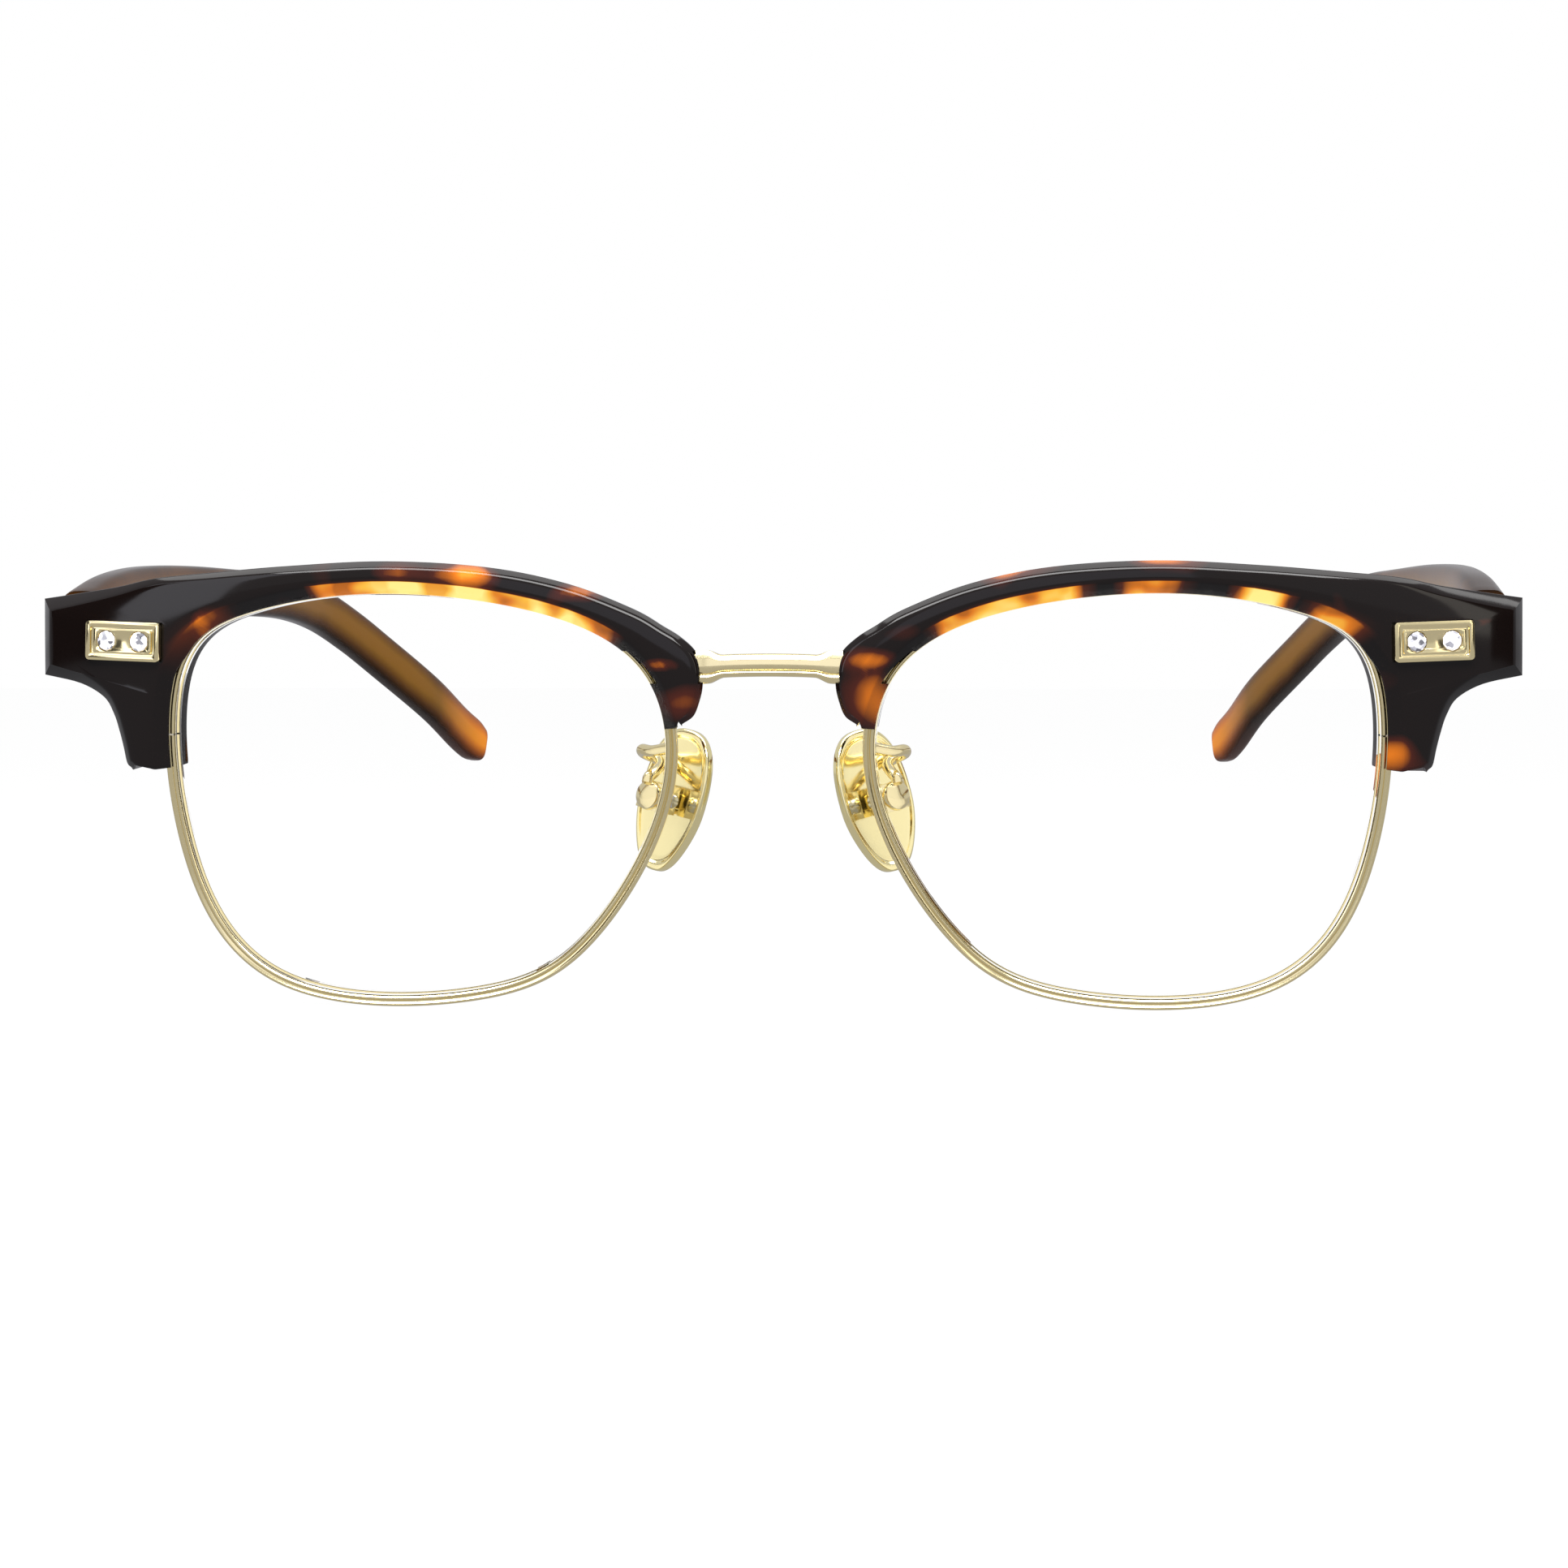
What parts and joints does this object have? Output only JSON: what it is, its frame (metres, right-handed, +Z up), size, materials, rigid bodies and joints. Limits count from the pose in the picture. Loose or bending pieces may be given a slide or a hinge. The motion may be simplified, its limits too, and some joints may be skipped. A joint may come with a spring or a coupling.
{
  "type": "browline glasses",
  "caption": "Browline spectacles with deep tortoiseshell brows over slim gold-tone eyewires, a bar bridge, folding temples and rocking nose pads.",
  "frame": {"origin": "on the middle plane, halfway between the front of the brows and the temple tips, level with the feet of the eyewires", "axes": "X to the wearer's left, which is the right of the picture; the front faces -Y; Z up"},
  "size_m": [0.144, 0.1492, 0.0436],
  "materials": {
    "brow_shell": "polished dark tortoiseshell acetate with amber patches",
    "temple_shell": "polished translucent tortoiseshell acetate",
    "lens": "clear demonstration lens",
    "stone": "clear faceted stone",
    "gold": "polished pale gold plate",
    "pad_gold": "mirror-polished gold plate",
    "silver": "bright screw steel"
  },
  "bodies": {
    "front": {"bridge": "gold", "brow_right": "brow_shell", "eyewire_right": "gold", "lens_right": "lens", "plaque_right": "gold", "stone_inner_right": "stone", "stone_outer_right": "stone", "bracket_right": "gold", "brow_screw_right": "silver", "block_upper_right": "gold", "block_lower_right": "gold", "block_screw_right": "silver", "hinge_front_right": "gold", "hinge_screw_right": "silver", "pad_arm_right": "gold", "pad_box_right": "gold", "pad_screw_right": "silver", "brow_left": "brow_shell", "eyewire_left": "gold", "lens_left": "lens", "plaque_left": "gold", "stone_inner_left": "stone", "stone_outer_left": "stone", "bracket_left": "gold", "brow_screw_left": "silver", "block_upper_left": "gold", "block_lower_left": "gold", "block_screw_left": "silver", "hinge_front_left": "gold", "hinge_screw_left": "silver", "pad_arm_left": "gold", "pad_box_left": "gold", "pad_screw_left": "silver"},
    "temple_arm_right": {"temple_right": "temple_shell", "temple_core_right": "gold", "hinge_temple_right": "gold"},
    "pad_right": {"nose_pad_right": "pad_gold"},
    "temple_arm_left": {"temple_left": "temple_shell", "temple_core_left": "gold", "hinge_temple_left": "gold"},
    "pad_left": {"nose_pad_left": "pad_gold"}
  },
  "joints": [
    {"name": "temple_fold_right", "type": "hinge", "parent": "front", "child": "temple_arm_right", "pos_m": [-0.0653, -0.05989, 0.03629], "axis": [0, 0, -1], "range_deg": [0, 63]},
    {"name": "temple_fold_left", "type": "hinge", "parent": "front", "child": "temple_arm_left", "pos_m": [0.0653, -0.05989, 0.03629], "axis": [0, 0, 1], "range_deg": [0, 80]},
    {"name": "pad_rock_right", "type": "hinge", "parent": "front", "child": "pad_right", "pos_m": [-0.0109, -0.06675, 0.02039], "axis": [-0.7594, 0.6157, 0.2106], "range_deg": [-8, 8]},
    {"name": "pad_rock_left", "type": "hinge", "parent": "front", "child": "pad_left", "pos_m": [0.0109, -0.06675, 0.02039], "axis": [0.7594, 0.6157, 0.2106], "range_deg": [-8, 8]}
  ]
}
